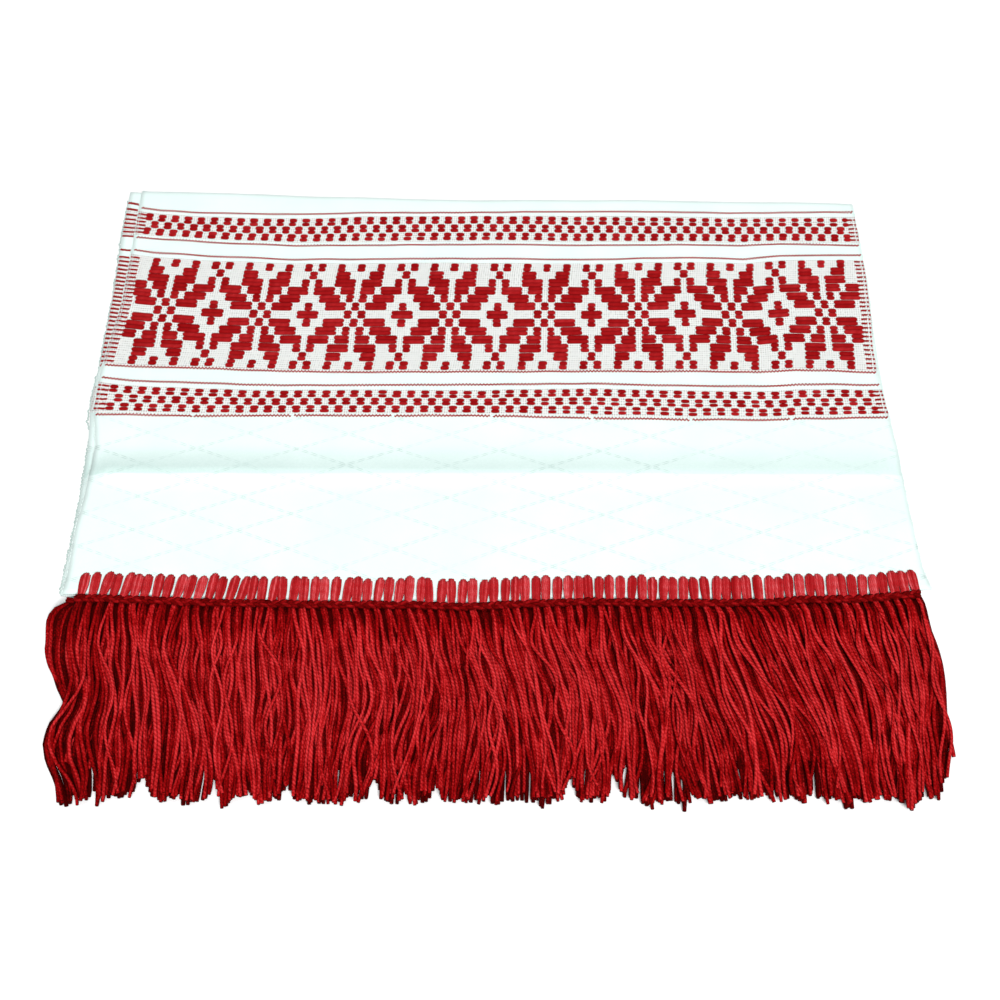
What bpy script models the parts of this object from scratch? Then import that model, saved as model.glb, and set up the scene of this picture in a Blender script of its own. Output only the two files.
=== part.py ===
import math
import random
from collections import namedtuple

import bmesh
import bpy

# Driving dimensions, in metres. "Across" runs from the left selvedge to the right one, and
# "reach" from the hem line, where it is 0, back to the folds. The floor is z = 0.
CLOTH_THICKNESS = 0.0010
LAYER_PITCH = 0.0014
LAYER_REACH = 0.2224
HEM_LINE = -0.0688
CENTRE_LINE = 0.0039
BACK_SKEW = 0.125
CLOTH_COLUMNS = 9
FOLD_STEPS = 3
PIECE_GAP = 0.0003
NEAR = 0.00001

RIDGE_REACH = 0.0622
RIDGE_HEIGHT = 0.0018
RIDGE_FRONT = 0.0085
RIDGE_BACK = 0.0165
SWELL_HEIGHT = 0.0005
SWELL_START = 0.012
SWELLS = 3.5
SWELL_FADE = 4
SWELL_SHALLOW = 0.4
SWELL_TURN = 30.0

TRIM_DEPTH = 0.0040
LOOP_REACH = 0.0104
LOOP_FILL = 0.74
LOCK_FILL = 0.76
LOCK_HEIGHT = 0.0015
TIP_TAPER = 0.75
LOCK_SEED = 7

# The towel is folded in half three times. Its runs are listed in order along its length,
# from the upper hem to the lower hem. Level 1 is the layer on the floor. "Waver" is the
# share of the top layer's uneven edge that a run keeps, and "front" its front end.
Run = namedtuple("Run", "level left right waver front")
RUNS = (
    Run(8, -0.1806, 0.1758, 1.00, 0.0000),
    Run(1, -0.1822, 0.1770, 0.30, 0.0046),
    Run(4, -0.1800, 0.1746, 0.30, 0.0046),
    Run(5, -0.1810, 0.1756, 0.25, 0.0040),
    Run(6, -0.1826, 0.1764, 0.35, 0.0040),
    Run(3, -0.1796, 0.1742, 0.30, 0.0060),
    Run(2, -0.1812, 0.1752, 0.25, 0.0060),
    Run(7, -0.1846, 0.1736, 0.25, 0.0000),
)

# How far each edge of the top layer strays from its mean line.
Edge = namedtuple("Edge", "reach left right")
EDGES = (
    Edge(0.000, -0.0018, 0.0045),
    Edge(0.012, -0.0010, 0.0021),
    Edge(0.030, -0.0012, 0.0012),
    Edge(0.045, 0.0004, 0.0005),
    Edge(0.075, 0.0009, 0.0003),
    Edge(0.093, -0.0019, -0.0009),
    Edge(0.113, -0.0027, -0.0024),
    Edge(0.130, -0.0007, -0.0026),
    Edge(0.150, -0.0003, -0.0010),
    Edge(0.173, 0.0009, 0.0001),
    Edge(0.198, 0.0024, -0.0002),
    Edge(0.222, 0.0011, -0.0003),
)

TOP_ROWS = (0.012, 0.030, 0.045, 0.0537, 0.0585, 0.0622, 0.069, 0.0787, 0.093, 0.113,
            0.130, 0.150, 0.173, 0.198)
LOWER_ROWS = (0.050, 0.110, 0.170)

# Sideways drift of the fringe at a quarter, half, three quarters and the whole of its length,
# by the place of the root.
Drift = namedtuple("Drift", "root quarter half late end")
UPPER_DRIFT = (
    Drift(-0.176, -0.0050, 0.0010, 0.0020, -0.0020),
    Drift(-0.152, -0.0010, 0.0080, 0.0105, 0.0080),
    Drift(-0.118, -0.0020, 0.0020, 0.0070, 0.0095),
    Drift(-0.090, 0.0010, 0.0025, 0.0030, 0.0040),
    Drift(-0.062, 0.0040, 0.0080, 0.0040, 0.0030),
    Drift(-0.030, 0.0040, 0.0085, 0.0050, 0.0040),
    Drift(0.000, 0.0030, 0.0095, 0.0130, 0.0120),
    Drift(0.040, 0.0020, 0.0080, 0.0080, 0.0050),
    Drift(0.075, 0.0040, 0.0080, 0.0135, 0.0160),
    Drift(0.104, 0.0080, 0.0145, 0.0200, 0.0210),
    Drift(0.134, 0.0055, 0.0105, 0.0140, 0.0140),
    Drift(0.158, 0.0065, 0.0085, 0.0075, 0.0060),
    Drift(0.175, 0.0080, 0.0085, 0.0070, 0.0055),
)
LOWER_DRIFT = (
    Drift(-0.182, -0.0115, -0.0070, -0.0020, -0.0010),
    Drift(-0.170, -0.0060, -0.0020, 0.0010, 0.0010),
    Drift(-0.150, -0.0020, 0.0030, 0.0050, 0.0040),
    Drift(-0.090, 0.0020, 0.0040, 0.0040, 0.0050),
    Drift(0.000, 0.0030, 0.0070, 0.0090, 0.0080),
    Drift(0.090, 0.0050, 0.0100, 0.0130, 0.0140),
    Drift(0.150, 0.0060, 0.0090, 0.0090, 0.0080),
    Drift(0.170, 0.0060, 0.0080, 0.0080, 0.0060),
)

# Notches and long tips along the cut ends of the fringe.
Tip = namedtuple("Tip", "across width extra")
TIPS = (
    Tip(-0.1800, 0.005, -0.014),
    Tip(-0.1700, 0.004, 0.003),
    Tip(-0.1407, 0.005, -0.008),
    Tip(-0.1116, 0.003, -0.006),
    Tip(-0.1075, 0.003, 0.003),
    Tip(-0.0837, 0.003, -0.005),
    Tip(-0.0495, 0.004, -0.008),
    Tip(-0.0248, 0.003, -0.004),
    Tip(0.0010, 0.006, 0.002),
    Tip(0.0275, 0.004, -0.009),
    Tip(0.0448, 0.004, -0.010),
    Tip(0.0720, 0.003, 0.003),
    Tip(0.0916, 0.003, -0.003),
    Tip(0.1214, 0.003, -0.003),
    Tip(0.1600, 0.006, 0.004),
    Tip(0.1810, 0.005, -0.015),
)

# One row for each fringe. "Base" is the underside of its backing strip, "steps" the heights
# of the strip's courses, and "rest" the height that its locks lie at on what is under them.
Fringe = namedtuple("Fringe", "name left right base steps locks loops rest length ragged drift")
UPPER_FRINGE = Fringe("upper_fringe", -0.1760, 0.1748, 0.0097, (0.0014, 0.0013),
                      100, 80, 0.0019, 0.0800, 0.0020, UPPER_DRIFT)
LOWER_FRINGE = Fringe("lower_fringe", -0.1815, 0.1690, 0.0074, (0.0020,),
                      80, 0, 0.0000, 0.0670, 0.0020, LOWER_DRIFT)

# Where the locks have rings: the way forward from the strip, and the share of the drop from
# the strip to the rest height that is left there. Past the last of the upper rings, an upper
# lock comes down to the floor. A lock ends at least TIP_ROOM past its last ring.
Ring = namedtuple("Ring", "way drop")
FALL_RINGS = (Ring(0.0015, 0.97), Ring(0.0070, 0.44), Ring(0.0150, 0.0))
UPPER_RINGS = (0.034, 0.055, 0.070)
LOWER_RINGS = (0.040,)
TIP_ROOM = 0.006

# The rings of a heading loop: its way along the loop, its width and its height.
LoopRing = namedtuple("LoopRing", "way spread rise")
LOOP_RINGS = (LoopRing(0.45, 1.05, 0.0012), LoopRing(1.0, 0.70, 0.0008))

WHITE = (0.90, 0.92, 0.90, 1.0)
RED = (0.52, 0.012, 0.018, 1.0)


def mix(first, second, share):
    return first + (second - first) * share


def smooth(share):
    share = min(1.0, max(0.0, share))
    return share * share * (3.0 - 2.0 * share)


def read_table(rows, key, value, column):
    """Straight-line reading of one column of a table whose rows rise in the key column."""
    before = rows[0]
    for row in rows:
        if getattr(row, key) >= value:
            span = getattr(row, key) - getattr(before, key)
            share = 0.0 if span <= 0.0 else (value - getattr(before, key)) / span
            return mix(getattr(before, column), getattr(row, column), share)
        before = row
    return getattr(rows[-1], column)


def place(across, reach, height):
    """A point of the towel in the part's own frame."""
    stretch = 1.0 - BACK_SKEW * across if reach > 0.0 else 1.0
    return (CENTRE_LINE + across, HEM_LINE + reach * stretch, height)


def make_material(name, color, roughness):
    material = bpy.data.materials.new(name)
    material.use_nodes = True
    shader = material.node_tree.nodes["Principled BSDF"]
    shader.inputs["Base Color"].default_value = color
    shader.inputs["Roughness"].default_value = roughness
    shader.inputs["Metallic"].default_value = 0.0
    return material


def add_object(bm, name, material, collection):
    mesh = bpy.data.meshes.new(name)
    bm.normal_update()
    bm.to_mesh(mesh)
    bm.free()
    mesh.materials.append(material)
    thing = bpy.data.objects.new(name, mesh)
    collection.objects.link(thing)
    return thing


# The folded cloth

Station = namedtuple("Station", "reach height left right on_top")


def level_height(level):
    return 0.5 * CLOTH_THICKNESS + (level - 1) * LAYER_PITCH


def fold_start():
    """Reach at which the flat runs end and the nested back folds begin."""
    outer_radius = 0.5 * (RUNS[0].level - RUNS[1].level) * LAYER_PITCH
    return LAYER_REACH - outer_radius - 0.5 * CLOTH_THICKNESS


def run_edges(run, reach):
    left = run.left + run.waver * read_table(EDGES, "reach", reach, "left")
    right = run.right + run.waver * read_table(EDGES, "reach", reach, "right")
    return left, right


def flat_stations(run, backward):
    """Rows across one flat run, from its front to its back, or the other way round."""
    rows = TOP_ROWS if run is RUNS[0] else LOWER_ROWS
    reaches = [run.front, *rows, fold_start()]
    if not backward:
        reaches.reverse()
    stations = []
    for reach in reaches:
        left, right = run_edges(run, reach)
        stations.append(Station(reach, level_height(run.level), left, right, run is RUNS[0]))
    return stations


def fold_stations(run, following, at_back):
    """Rows round the half circle that joins a run to the next one."""
    radius = 0.5 * abs(run.level - following.level) * LAYER_PITCH
    middle = 0.5 * (level_height(run.level) + level_height(following.level))
    rising = 1.0 if following.level > run.level else -1.0
    centre = fold_start() if at_back else run.front
    outward = 1.0 if at_back else -1.0
    steps = FOLD_STEPS + abs(run.level - following.level) // 2
    stations = []
    for step in range(1, steps):
        share = step / steps
        angle = math.pi * (share - 0.5)
        reach = centre + outward * radius * math.cos(angle)
        height = middle + rising * radius * math.sin(angle)
        left, right = run_edges(run, reach)
        next_left, next_right = run_edges(following, reach)
        stations.append(Station(reach, height, mix(left, next_left, share),
                                mix(right, next_right, share), False))
    return stations


def towel_stations():
    stations = []
    for index, run in enumerate(RUNS):
        backward = index % 2 == 0
        stations += flat_stations(run, backward)
        if index + 1 < len(RUNS):
            stations += fold_stations(run, RUNS[index + 1], backward)
    return stations


def top_lift(across, reach):
    """Height that the crease ridge and the slack of the top layer add."""
    slope = RIDGE_BACK if reach > RIDGE_REACH else RIDGE_FRONT
    ridge = RIDGE_HEIGHT * smooth(1.0 - abs(reach - RIDGE_REACH) / slope)
    share = (reach - SWELL_START) / (fold_start() - SWELL_START)
    if share <= 0.0:
        return ridge
    rolling = math.sin(SWELLS * math.pi * share) ** 2 * (1.0 - share ** SWELL_FADE)
    unevenness = 1.0 - SWELL_SHALLOW * (1.0 - math.cos(SWELL_TURN * across))
    return ridge + SWELL_HEIGHT * rolling * unevenness


def build_towel(collection):
    """A grid bent along the folded section, then given the cloth's thickness."""
    stations = towel_stations()
    last_row = len(stations) - 1
    bm = bmesh.new()
    bmesh.ops.create_grid(bm, x_segments=CLOTH_COLUMNS, y_segments=last_row, size=0.5)
    for vert in bm.verts:
        station = stations[round((vert.co.y + 0.5) * last_row)]
        across = mix(station.left, station.right, vert.co.x + 0.5)
        lift = top_lift(across, station.reach) if station.on_top else 0.0
        vert.co = place(across, station.reach, station.height + lift)
    towel = add_object(bm, "towel_cloth", make_material("white cotton", WHITE, 0.85), collection)
    wall = towel.modifiers.new("Cloth thickness", "SOLIDIFY")
    wall.thickness = CLOTH_THICKNESS
    wall.offset = 0.0
    wall.use_even_offset = True
    return towel


# The fringes

def strip_outline(fringe):
    """Outline of a backing strip, seen from above, with a corner at each lock and loop."""
    back = -PIECE_GAP
    front = back - TRIM_DEPTH
    points = []
    for index in range(fringe.locks + 1):
        points.append((mix(fringe.left, fringe.right, index / fringe.locks), front))
    back_edge = [fringe.right]
    for index in reversed(range(fringe.loops)):
        for side in (1.0 + LOOP_FILL, 1.0 - LOOP_FILL):
            share = (index + 0.5 * side) / fringe.loops
            back_edge.append(mix(fringe.left, fringe.right, share))
    back_edge.append(fringe.left)
    points += [(across, back) for across in back_edge]
    return points


def build_strip(bm, fringe):
    """The backing strip: its outline, extruded upward one course after another."""
    corners = [bm.verts.new(place(across, reach, fringe.base))
               for across, reach in strip_outline(fringe)]
    underside = bm.faces.new(corners)
    if underside.normal.z > 0.0:
        underside.normal_flip()
    top = underside
    for step in fringe.steps:
        made = bmesh.ops.extrude_face_region(bm, geom=[top])["geom"]
        if top is not underside:
            bmesh.ops.delete(bm, geom=[top], context="FACES_ONLY")
        top = next(item for item in made if isinstance(item, bmesh.types.BMFace))
        lifted = [item for item in made if isinstance(item, bmesh.types.BMVert)]
        bmesh.ops.translate(bm, verts=lifted, vec=(0.0, 0.0, step))
    bm.normal_update()


def faces_at(bm, reach, course_middle):
    """Upright faces of the strip at one reach and in one course, from left to right."""
    y = HEM_LINE + reach
    found = []
    for face in bm.faces:
        middle = face.calc_center_median()
        if abs(middle.y - y) < NEAR and abs(middle.z - course_middle) < NEAR:
            found.append(face)
    found.sort(key=lambda face: face.calc_center_median().x)
    return found


def drift_at(fringe, root, share):
    """Sideways drift of a lock at a share of its length."""
    names = ("quarter", "half", "late", "end")
    values = [0.0] + [read_table(fringe.drift, "root", root, name) for name in names]
    place_in = min(3.999, share * 4.0)
    index = int(place_in)
    return mix(values[index], values[index + 1], place_in - index)


def lock_width(fringe, root, share):
    """Width of a lock, from the room between it and its neighbours."""
    pitch = (fringe.right - fringe.left) / fringe.locks
    here = drift_at(fringe, root, share)
    room = pitch + min(drift_at(fringe, root + pitch, share) - here,
                       here - drift_at(fringe, root - pitch, share))
    return LOCK_FILL * room


def lock_length(fringe, root, rng):
    tip_across = root + drift_at(fringe, root, 1.0)
    length = fringe.length + rng.uniform(-1.0, 1.0) * fringe.ragged
    for tip in TIPS:
        nearness = 1.0 - abs(tip_across - tip.across) / tip.width
        length += tip.extra * smooth(nearness)
    return length


def set_lock_ring(cap, across, reach, height, width, rise):
    """Moves the three corners of a lock's end face to its next ring."""
    corners = sorted(cap.verts, key=lambda vert: vert.co.z)
    left, right = sorted(corners[:2], key=lambda vert: vert.co.x)
    left.co = place(across - 0.5 * width, reach, height)
    right.co = place(across + 0.5 * width, reach, height)
    corners[2].co = place(across, reach, height + rise)


def grow_lock(bm, fringe, root_face, root, length):
    """One lock, extruded ring by ring from its root in the strip's front."""
    front = -PIECE_GAP - TRIM_DEPTH
    upper = fringe.loops > 0
    level_rings = UPPER_RINGS if upper else LOWER_RINGS
    ways = [(ring.way, ring.drop) for ring in FALL_RINGS]
    ways += [(way, 0.0) for way in level_rings if way < length - TIP_ROOM]
    ways.append((length, 0.0))
    cap = root_face
    for way, drop in ways:
        height = mix(fringe.rest, fringe.base, drop)
        if way == length and upper and length > UPPER_RINGS[-1] + TIP_ROOM:
            height = 0.0
        share = way / fringe.length
        across = root + drift_at(fringe, root, share)
        taper = TIP_TAPER if way == length else 1.0
        width = lock_width(fringe, root, share) * taper
        cap = bmesh.ops.extrude_discrete_faces(bm, faces=[cap])["faces"][0]
        set_lock_ring(cap, across, front - way, height, width, LOCK_HEIGHT * taper)


def grow_loop(bm, root_face):
    """One flat loop of the heading, laid back over the hem from the top of the strip."""
    middle = root_face.calc_center_median()
    half_width = 0.5 * (max(v.co.x for v in root_face.verts) - min(v.co.x for v in root_face.verts))
    low = min(vert.co.z for vert in root_face.verts)
    cap = root_face
    for ring in LOOP_RINGS:
        cap = bmesh.ops.extrude_discrete_faces(bm, faces=[cap])["faces"][0]
        y = HEM_LINE + ring.way * LOOP_REACH
        for vert in cap.verts:
            side = 1.0 if vert.co.x > middle.x else -1.0
            upward = ring.rise if vert.co.z > low + NEAR else 0.0
            vert.co = (middle.x + side * half_width * ring.spread, y, low + upward)


def build_fringe(fringe, material, collection):
    bm = bmesh.new()
    build_strip(bm, fringe)
    front = -PIECE_GAP - TRIM_DEPTH
    root_quads = faces_at(bm, front, fringe.base + 0.5 * fringe.steps[0])
    rng = random.Random(LOCK_SEED)
    roots = []
    for quad in root_quads:
        centre = quad.calc_center_median().x - CENTRE_LINE
        halves = bmesh.ops.triangulate(bm, faces=[quad])["faces"]
        lowest = min(halves, key=lambda face: face.calc_center_median().z)
        roots.append((lowest, centre))
    for root_face, centre in roots:
        grow_lock(bm, fringe, root_face, centre, lock_length(fringe, centre, rng))
    if fringe.loops:
        course = fringe.base + fringe.steps[0] + 0.5 * fringe.steps[1]
        cells = faces_at(bm, -PIECE_GAP, course)
        for cell in cells[1::2]:
            grow_loop(bm, cell)
    flat_ends = [face for face in bm.faces if len(face.verts) > 4]
    bmesh.ops.triangulate(bm, faces=flat_ends)
    return add_object(bm, fringe.name, material, collection)


def clear_scene():
    for thing in list(bpy.data.objects):
        bpy.data.objects.remove(thing, do_unlink=True)


def main():
    clear_scene()
    collection = bpy.data.collections.new("folded rushnyk")
    bpy.context.scene.collection.children.link(collection)
    build_towel(collection)
    yarn = make_material("red fringe yarn", RED, 0.9)
    for fringe in (UPPER_FRINGE, LOWER_FRINGE):
        build_fringe(fringe, yarn, collection)


main()
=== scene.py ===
import math

import bmesh
import bpy
import numpy as np
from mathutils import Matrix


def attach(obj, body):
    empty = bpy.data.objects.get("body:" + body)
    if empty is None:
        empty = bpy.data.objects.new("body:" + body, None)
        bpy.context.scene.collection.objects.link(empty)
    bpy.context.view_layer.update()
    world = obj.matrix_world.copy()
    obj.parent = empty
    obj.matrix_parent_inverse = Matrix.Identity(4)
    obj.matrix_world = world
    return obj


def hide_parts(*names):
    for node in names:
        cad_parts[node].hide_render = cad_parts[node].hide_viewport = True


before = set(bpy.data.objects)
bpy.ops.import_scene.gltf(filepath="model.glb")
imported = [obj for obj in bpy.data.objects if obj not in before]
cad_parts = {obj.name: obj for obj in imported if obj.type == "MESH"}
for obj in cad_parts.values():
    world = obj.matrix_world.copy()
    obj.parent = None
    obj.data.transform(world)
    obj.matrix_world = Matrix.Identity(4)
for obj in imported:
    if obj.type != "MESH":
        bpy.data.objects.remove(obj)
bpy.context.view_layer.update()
print("frame loaded:", sorted(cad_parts))

# Lay-out of the folded towel, in metres. "Across" runs from the mid line to the selvedges,
# "reach" from the hem line back to the folds.
lay = {
    "hemLine": -0.0688,
    "centreLine": 0.0039,
    "backSkew": 0.125,
    "clothThickness": 0.0010,
    "layerPitch": 0.0014,
    "foldStart": 0.2198,
    "bowStart": 0.206,
    "bowLength": 0.016,
}
tenth = 0.0001  # a tenth of a millimetre, the unit of the lists of amounts
fullTurn = 6.2832
# How far the rounded fold strays from a straight edge
foldPlaces = 0.001 * np.array([-188, -181, -178, -168, -150, -118, -94, -68,
                               -40, -12, 12, 40, 68, 118, 150, 178])
foldBow = [24, 22, 10, 10, 10, 6, -2, 0, -5, -5, 5, 10, 20, 20, 27, 24]
# How far the hem with its heading and fringes lies back of the straight hem line, and how that fades
hemPlaces = 0.001 * np.array([-176, -148, -120, -64, -40, -13, 10, 38, 64, 110, 127, 147, 160, 175])
hemBow = [16, 5, -8, -18, -18, -28, -13, -3, -10, -8, 7, 9, 20, 36]
hemFade = ([-0.085, 0.0, 0.035], [0.3, 1.0, 0.0])  # reach, share


def place(across, reach, height):  # a point of the towel in the shared frame
    across, reach, height = np.broadcast_arrays(across, reach, height)
    stretch = np.where(reach > 0.0, 1.0 - lay["backSkew"] * across, 1.0)
    foldShare = smooth((reach - lay["bowStart"]) / lay["bowLength"])
    bow = tenth * np.interp(across, foldPlaces, foldBow) * foldShare
    bow = bow + tenth * np.interp(across, hemPlaces, hemBow) * np.interp(reach, *hemFade)
    return np.stack((lay["centreLine"] + across, lay["hemLine"] + reach * stretch + bow, height), -1)


def smooth(share):
    share = np.clip(share, 0.0, 1.0)
    return share * share * (3.0 - 2.0 * share)


def mix(first, second, share):
    return first + (second - first) * share


def wander(u, v, seed):  # slow, even unevenness between -1 and 1
    dice = np.random.default_rng(seed)
    total = 0.0
    for _ in range(5):
        turnU, turnV, phase = dice.uniform(0.5, 1.6), dice.uniform(-1.2, 1.2), dice.uniform(0.0, 6.28)
        total = total + np.sin(6.28 * (turnU * u + turnV * v) + phase)
    return total / 3.2


def newObject(name, data):
    made = bpy.data.objects.new(name, data)
    bpy.context.scene.collection.objects.link(made)
    return made


def meshFrom(bm, name):
    mesh = bpy.data.meshes.new(name)
    bm.to_mesh(mesh)
    bm.free()
    return mesh


def cornersOf(mesh):
    flat = np.zeros(len(mesh.vertices) * 3)
    mesh.vertices.foreach_get("co", flat)
    return flat.reshape(-1, 3)


def addPiece(name, mesh, material):
    mesh.name = name
    mesh.materials.clear()
    mesh.materials.append(material)
    for polygon in mesh.polygons:
        polygon.use_smooth = True
    piece = newObject(name, mesh)
    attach(piece, "root")
    return piece


def pointAttribute(mesh, name, kind, values):
    attribute = mesh.attributes.new(name, kind, "POINT")
    field = "vector" if kind == "FLOAT_VECTOR" else "value"
    attribute.data.foreach_set(field, np.asarray(values, np.float32).ravel())


# Materials: short ways to add nodes and links, two shared node groups, and then the yarns
def addNode(tree, kind, **values):
    node = tree.nodes.new(kind)
    for key, value in values.items():
        setattr(node, key, value)
    return node


def feed(socket, source):  # a number or a colour is set on the socket, an output is linked to it
    if isinstance(source, (int, float, tuple)):
        socket.default_value = source
    else:
        socket.id_data.links.new(source, socket)


def calc(operation, *sources):
    tree = next(source.id_data for source in sources if not isinstance(source, (int, float)))
    node = addNode(tree, "ShaderNodeMath", operation=operation)
    for socket, source in zip(node.inputs, sources):
        feed(socket, source)
    return node.outputs[0]


def times(first, *others):
    for other in others:
        first = calc("MULTIPLY", first, other)
    return first


def plus(first, second):
    return calc("ADD", first, second)


def minus(first, second):
    return calc("SUBTRACT", first, second)


def spread(source, low, high, toLow=0.0, toHigh=1.0, kind="LINEAR"):
    node = addNode(source.id_data, "ShaderNodeMapRange", interpolation_type=kind)
    for socket, value in zip(node.inputs, (source, low, high, toLow, toHigh)):
        feed(socket, value)
    return node.outputs["Result"]


def blend(share, first, second):
    node = addNode(share.id_data, "ShaderNodeMix", data_type="RGBA")
    for index, source in ((0, share), (6, first), (7, second)):
        feed(node.inputs[index], source)
    return node.outputs[2]


def noise(source, scale):
    node = addNode(source.id_data, "ShaderNodeTexNoise")
    feed(node.inputs["Vector"], source)
    feed(node.inputs["Scale"], scale)
    return node.outputs["Fac"]


def separate(source):
    node = addNode(source.id_data, "ShaderNodeSeparateXYZ")
    feed(node.inputs[0], source)
    return node.outputs


def attributeOf(tree, name):
    return addNode(tree, "ShaderNodeAttribute", attribute_name=name).outputs


def newGroup(name, inputs, outputs):  # a node group whose sockets are all plain numbers
    group = bpy.data.node_groups.new(name, "ShaderNodeTree")
    for label, value in inputs.items():
        socket = group.interface.new_socket(label, in_out="INPUT", socket_type="NodeSocketFloat")
        socket.default_value = value
    for label in outputs:
        group.interface.new_socket(label, in_out="OUTPUT", socket_type="NodeSocketFloat")
    return group, group.nodes.new("NodeGroupInput").outputs, group.nodes.new("NodeGroupOutput").inputs


def plyTwistGroup():  # grooves of a twisted yarn, the uneven tone along it, and a mask of its sides for painted shade
    group, given, result = newGroup("plyTwist", {"Twist Length": 0.0014, "Plies": 2.0, "Fuzz Scale": 2600.0},
                                    ("Ridge", "Height", "Tone", "Painted Flank Shade"))
    sideways, upward, along = separate(attributeOf(group, "yarn")["Vector"])
    angle = calc("ARCTAN2", upward, sideways)
    turns = calc("DIVIDE", times(along, fullTurn), given["Twist Length"])
    phase = plus(times(angle, given["Plies"]), turns)
    ridge = spread(calc("SINE", phase), -1.0, 0.7, kind="SMOOTHSTEP")
    object3d = addNode(group, "ShaderNodeTexCoord").outputs["Object"]
    fuzz = noise(object3d, given["Fuzz Scale"])
    slow = noise(object3d, 160.0)
    uneven = plus(attributeOf(group, "tone")["Fac"], times(minus(slow, 0.5), 0.7))
    feed(result["Ridge"], ridge)
    feed(result["Height"], plus(times(ridge, 0.8), times(fuzz, 0.5)))
    feed(result["Tone"], plus(uneven, times(minus(fuzz, 0.5), 1.1)))
    # painted shade mask: 1 on the yarn's sides and underside, 0 on its top
    feed(result["Painted Flank Shade"], spread(upward, 0.0, 0.92, 1.0, 0.0))
    return group


def latticeGroup():  # double dashed lines of the woven rhombus figure
    group, given, result = newGroup("rhombusFigure", {"Across": 0.0, "Along": 0.0, "Rhombus Width": 0.0448,
                                                      "Rhombus Height": 0.0165}, ("Line",))
    wide = calc("DIVIDE", given["Across"], given["Rhombus Width"])
    high = calc("DIVIDE", given["Along"], given["Rhombus Height"])
    lines = []
    for operation in ("ADD", "SUBTRACT"):
        fold = calc("FRACT", plus(calc(operation, wide, high), 20.5))
        offset = calc("ABSOLUTE", minus(fold, 0.5))
        apart = calc("ABSOLUTE", minus(offset, 0.026))
        near = calc("MAXIMUM", minus(1.0, calc("DIVIDE", apart, 0.018)), 0.0)
        way = plus(given["Across"], times(offset, 0.05))
        dash = calc("SINE", times(way, 1500.0))
        lines.append(times(near, spread(dash, -0.9, 0.2)))
    feed(result["Line"], calc("MAXIMUM", *lines))
    return group


plyTwist = plyTwistGroup()
rhombusFigure = latticeGroup()


def newMaterial(name, roughness, sheen=0.0, sheenTint=(1.0, 1.0, 1.0, 1.0)):
    material = bpy.data.materials.new(name)
    material.use_nodes = True
    shader = material.node_tree.nodes["Principled BSDF"]
    looks = {"Roughness": roughness, "Specular IOR Level": 0.03, "Sheen Weight": sheen,
             "Sheen Roughness": 0.4, "Sheen Tint": sheenTint}
    for label, value in looks.items():
        shader.inputs[label].default_value = value
    return material, shader


def dressShader(tree, shader, color, height, strength, distance):  # colour and bump into the shader
    bump = tree.nodes.new("ShaderNodeBump")
    bump.inputs["Strength"].default_value = strength
    bump.inputs["Distance"].default_value = distance
    tree.links.new(color, shader.inputs["Base Color"])
    tree.links.new(height, bump.inputs["Height"])
    tree.links.new(bump.outputs["Normal"], shader.inputs["Normal"])


def yarnMaterial(name, values):
    material, shader = newMaterial(name, values["roughness"], values["sheen"], values["sheenTint"])
    tree = material.node_tree
    twist = addNode(tree, "ShaderNodeGroup", node_tree=plyTwist)
    for label, key in (("Twist Length", "twistLength"), ("Plies", "plies"), ("Fuzz Scale", "fuzzScale")):
        twist.inputs[label].default_value = values[key]
    ridge, height, tone, paintedFlankShade = twist.outputs
    color = blend(spread(tone, 0.0, 1.0), values["dark"], values["light"])
    # painted shade: the ply grooves and the yarn's sides and underside are darkened towards the painted shade
    # colour
    color = blend(spread(ridge, 0.0, 1.0, values["paintedGrooveShade"], 0.0), color, values["paintedShadeColor"])
    color = blend(times(paintedFlankShade, values["paintedFlankShade"]), color, values["paintedShadeColor"])
    # painted highlight along the crest of the yarn, on its lighter stretches
    crest = times(spread(ridge, 0.0, 1.0, 0.35, 1.0), minus(1.0, paintedFlankShade))
    paintedHighlight = times(crest, spread(tone, 0.5, 1.1, 0.0, values["paintedHighlight"]))
    dressShader(tree, shader, blend(paintedHighlight, color, values["paintedHighlightColor"]), height, values["bump"], 0.00025)
    return material


def dye(red, green, blue):
    return red, green, blue, 1.0


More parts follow.
